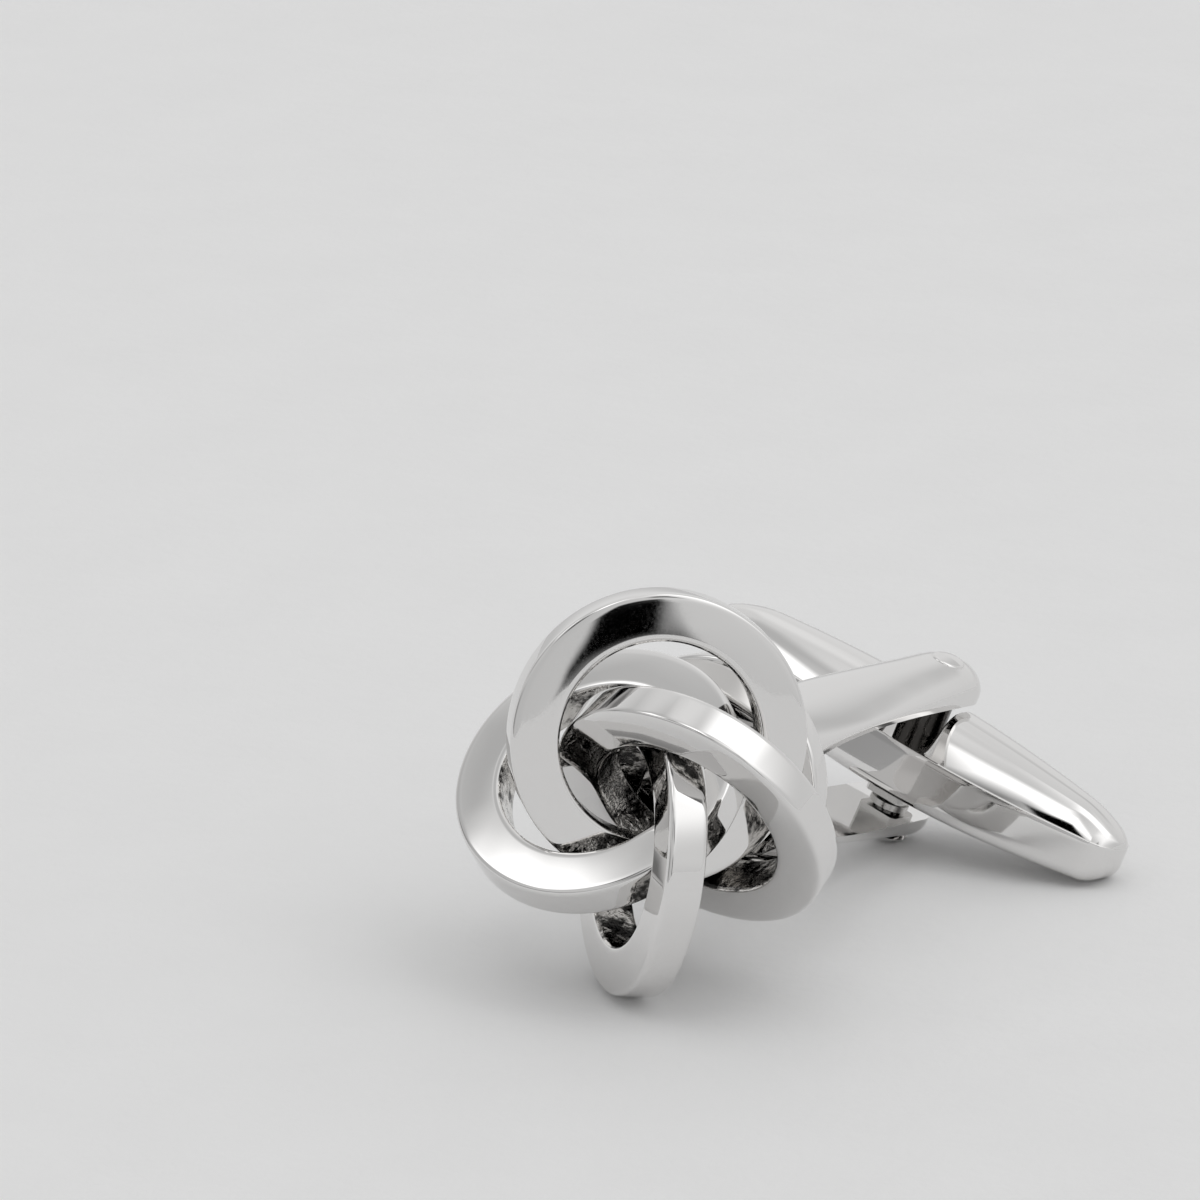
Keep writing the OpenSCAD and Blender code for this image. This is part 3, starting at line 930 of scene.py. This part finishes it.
class LINK_OT_toggle(bpy.types.Operator):
    """Makes the toggle bar, with its domed wings, crease and saddle"""

    bl_idname = "link.toggle"
    bl_label = "Toggle bar"

    def execute(self, context):
        bar = settings().toggle
        half = bar.length / 2
        # Steps over the base, its corner, the side, the crease's edge and half the dome
        base_steps, corner_steps, side_steps, crease_steps, dome_steps = 8, 10, 6, 4, 56
        # Steps along half the seat, the slope, the wing and the end
        seat_steps, slope_steps, wing_steps, end_steps = 4, 40, 40, 24

        def taper(x):
            """How far the bar has narrowed, from 0 at its middle to 1 at its tips."""
            return min(1.0, abs(x) / half) ** bar.taper_power

        def end_inset(x):
            """How far the round end draws the outline in."""
            run = max(0.0, abs(x) - (half - bar.end_radius))
            return bar.end_radius - math.sqrt(max(0.0, bar.end_radius ** 2 - run * run))

        def dome_share(x, u):
            """How much of the dome stands, u running from 0 on its ridge to 1 at the side."""
            run = min(1.0, max(0.0, (abs(x) - bar.flare * u * u - bar.saddle) / bar.run))
            return (1 - math.cos(math.pi * run)) / 2

        def half_section(x):
            """The front half of the outline, from the middle of the base up to the dome's top."""
            inset = end_inset(x)
            half_w = (bar.width + (bar.tip_width - bar.width) * taper(x)) / 2 - inset
            half_h = (bar.height + (bar.tip_height - bar.height) * taper(x)) / 2
            low = bar.rise - half_h + inset
            run = max(0.0, abs(x) - (half - bar.nose)) / bar.nose
            blunt = math.sqrt(max(0.0, 1 - run * run))
            crease = bar.rise + bar.height / 2 - bar.dome + bar.crease_rise * taper(x)
            full = (bar.rise + half_h - crease) * blunt
            r = min(bar.edge_radius, half_w / 2)
            soft = min(bar.crease_radius, half_w / 4)
            ledge = min(bar.ledge, half_w / 3)
            side = crease - soft - low - r
            points = [((half_w - r) * i / base_steps, low) for i in range(base_steps)]
            points += arc(half_w - r, low + r, r, -90, 0, corner_steps)
            points += [(half_w, low + r + side * i / side_steps) for i in range(1, side_steps)]
            points += arc(half_w - soft, crease - soft, soft, 0, 90, crease_steps)
            for i in range(dome_steps + 1):
                u = math.cos(math.pi / 2 * i / dome_steps)
                standing = full * dome_share(x, u) * (1 - u ** bar.dome_power)
                points.append(((half_w - ledge) * u, crease + standing))
            return points

        def section(x):
            front = half_section(x)
            back = [(-w, h) for w, h in reversed(front[1:-1])]
            return [(x, PIVOT_BACK - w, h) for w, h in front + back]

        slope_end = bar.saddle + bar.run + bar.flare
        wing_end = half - bar.end_radius
        slope, wing = slope_end - bar.saddle, wing_end - slope_end
        stations = [bar.saddle * i / seat_steps for i in range(seat_steps)]
        stations += [bar.saddle + slope * i / slope_steps for i in range(slope_steps)]
        stations += [slope_end + wing * i / wing_steps for i in range(wing_steps)]
        stations += [wing_end + bar.end_radius * math.sin(math.pi / 2 * i / end_steps)
                     for i in range(end_steps + 1)]
        stations = [-x for x in reversed(stations[1:])] + stations
        bm = bmesh.new()
        rows = [[bm.verts.new(p) for p in section(x)] for x in stations]
        count = len(rows[0])
        for a, b in zip(rows, rows[1:]):
            for i in range(count):
                j = (i + 1) % count
                bm.faces.new((a[i], a[j], b[j], b[i]))
        for row in (rows[0], rows[-1]):
            bm.faces.new(row)
        mesh = finish_mesh(bm, "toggle_bar", sharp=40)
        mesh_piece("toggle_bar_polished", mesh, "toggle", "toggle_bar")
        return {"FINISHED"}


def studio_world():
    """A light tent: pale all round, with softboxes and dark cards that the metal mirrors."""
    world = bpy.data.worlds.new("Light tent")
    world.use_nodes = True
    tree = world.node_tree
    tree.nodes.clear()
    way = add_node(tree, "ShaderNodeTexCoord").outputs["Generated"]

    def towards(heading, height):
        """The direction at a heading to the right of +Y and a height above level, in degrees."""
        a, e = math.radians(heading), math.radians(height)
        return Vector((math.sin(a) * math.cos(e), math.cos(a) * math.cos(e), math.sin(e)))

    # The tent is brightest behind the link and dimmer on the camera's side
    brightest, swing, middle = towards(-35, 20), 0.12, 0.68
    facing_it = add_node(tree, "ShaderNodeVectorMath", {0: way, 1: brightest},
                         operation="DOT_PRODUCT")
    level = add_node(tree, "ShaderNodeMath", {0: facing_it, 1: swing, 2: middle},
                     operation="MULTIPLY_ADD")
    # Heading and height of a card's middle, its half width and half height, softness, and level
    cards = (
        (-75, 84, 8, 8, 0.8, 0.85),
        (-45, -1, 40, 7, 0.7, 0.58),
        (-110, 34, 24, 18, 0.6, 0.5),
        (-108, 25, 5, 5, 0.6, 0.2),
        (-110, 67, 9, 6, 0.8, 0.54),
        (-103, 57, 5, 5, 0.8, 0.5),
        (-28, 50, 8, 14, 0.6, 0.9),
        (2, 31, 10, 4, 0.9, 0.58),
        (-155, 6, 20, 9, 0.8, 0.3),
        (112, 10, 20, 12, 0.8, 0.72),
        (132, 4, 2.6, 8, 0.3, 0.0),
        (-156, 57.5, 4.5, 3.5, 0.5, 0.12),
        (163, 34, 6, 6, 0.6, 0.15),
        (96, 44, 20, 17, 0.8, 1.25),
        (78, 61, 10, 18, 0.4, 1.5),
        (127, 30, 3, 8, 0.5, 0.12),
        (169, 66, 8, 8, 0.6, 1.5),
        (160, 57, 5, 7, 0.4, 1.5),
        (-178, 47, 5, 5, 0.6, 0.25),
        (167.5, 44.5, 3.3, 7.6, 0.2, 0.0),
        (-128, 53, 9, 7.5, 0.4, 1.5),
    )
    for heading, height, half_w, half_h, soft, card_level in cards:
        facing = towards(heading, height)
        side = facing.cross(Vector((0, 0, 1))).normalized()
        over = side.cross(facing).normalized()
        # How far off the card's middle a direction is, in half widths and in half heights
        off = []
        for across, half in ((side, half_w), (over, half_h)):
            signed = add_node(tree, "ShaderNodeVectorMath",
                              {0: way, 1: across / math.sin(math.radians(half))},
                              operation="DOT_PRODUCT")
            off.append(add_node(tree, "ShaderNodeMath", {0: signed}, operation="ABSOLUTE"))
        edge = add_node(tree, "ShaderNodeMath", {0: off[0], 1: off[1]}, operation="MAXIMUM")
        cover = add_node(tree, "ShaderNodeMapRange",
                         {"Value": edge, "From Min": 1 + soft, "From Max": 1 - soft},
                         interpolation_type="SMOOTHSTEP")
        ahead = add_node(tree, "ShaderNodeVectorMath", {0: way, 1: facing},
                         operation="DOT_PRODUCT")
        front = add_node(tree, "ShaderNodeMath", {0: ahead, 1: 0.0}, operation="GREATER_THAN")
        share = add_node(tree, "ShaderNodeMath", {0: cover, 1: front}, operation="MULTIPLY")
        level = add_node(tree, "ShaderNodeMix", {"Factor": share, 2: level, 3: card_level})
    strength = add_node(tree, "ShaderNodeMath", {0: level, 1: settings().stage.brightness},
                        operation="MULTIPLY")
    light = add_node(tree, "ShaderNodeBackground",
                     {"Color": (1, 1, 1, 1), "Strength": strength})
    add_node(tree, "ShaderNodeOutputWorld", {"Surface": light})
    bpy.context.scene.world = world


class LINK_OT_stage(bpy.types.Operator):
    """Makes the paper, the studio's light and the camera"""

    bl_idname = "link.stage"
    bl_label = "Stage"

    def execute(self, context):
        stage = settings().stage
        scene = context.scene
        # The paper ends in front of the picture. Beyond it the rings mirror the dark studio.
        near, far = stage.paper_near, stage.paper_far
        away = Matrix.Rotation(stage.heading, 4, "Z")
        corners = [(-far, -near, 0), (far, -near, 0), (far, far, 0), (-far, far, 0)]
        bm = bmesh.new()
        bm.faces.new([bm.verts.new(away @ Vector(c)) for c in corners])
        bmesh.ops.translate(bm, verts=bm.verts, vec=(stage.look_at[0], stage.look_at[1], 0))
        mesh = bpy.data.meshes.new("paper")
        bm.to_mesh(mesh)
        bm.free()
        mesh.materials.append(finish("paper"))
        paper = bpy.data.objects.new("paper", mesh)
        scene.collection.objects.link(paper)
        studio_world()

        data = bpy.data.cameras.new("Camera")
        data.sensor_width = 36
        data.angle = stage.view_angle
        data.clip_start = 0.01
        data.clip_end = 20
        camera = bpy.data.objects.new("Camera", data)
        scene.collection.objects.link(camera)
        turn = (away @ Matrix.Rotation(math.pi / 2 - stage.elevation, 4, "X")
                @ Matrix.Rotation(stage.roll, 4, "Z"))
        camera.matrix_world = (Matrix.Translation(Vector(stage.look_at)) @ turn
                               @ Matrix.Translation((0, 0, stage.distance)))
        scene.camera = camera
        scene.view_settings.view_transform = "Standard"
        return {"FINISHED"}


class LINK_PT_panel(bpy.types.Panel):
    """Lists the cufflink's pieces and its stage, with their sizes and colours"""

    bl_idname = "LINK_PT_panel"
    bl_label = "Knot cufflink"
    bl_space_type = "VIEW_3D"
    bl_region_type = "UI"
    bl_category = "Cufflink"

    def draw(self, context):
        for operator in OPERATORS:
            self.layout.operator(operator.bl_idname)
        for part in LinkSettings.__annotations__:
            box = self.layout.box()
            box.label(text=part.capitalize())
            group = getattr(settings(), part)
            for value in type(group).__annotations__:
                box.prop(group, value)


GROUPS = (KnotSettings, ForkSettings, PivotSettings, ToggleSettings, FinishSettings,
          StageSettings, LinkSettings)
OPERATORS = (LINK_OT_stage, LINK_OT_rings, LINK_OT_disc, LINK_OT_fork, LINK_OT_pivot,
             LINK_OT_toggle)
CLASSES = (*GROUPS, *OPERATORS, LINK_PT_panel)


def register():
    for each in CLASSES:
        bpy.utils.register_class(each)
    bpy.types.Scene.knot_link = bpy.props.PointerProperty(type=LinkSettings)


def unregister():
    del bpy.types.Scene.knot_link
    for each in reversed(CLASSES):
        bpy.utils.unregister_class(each)


def main():
    register()
    bpy.ops.link.stage()
    bpy.ops.link.rings()
    bpy.ops.link.disc()
    bpy.ops.link.fork()
    bpy.ops.link.pivot()
    bpy.ops.link.toggle()


if __name__ == "__main__":
    main()
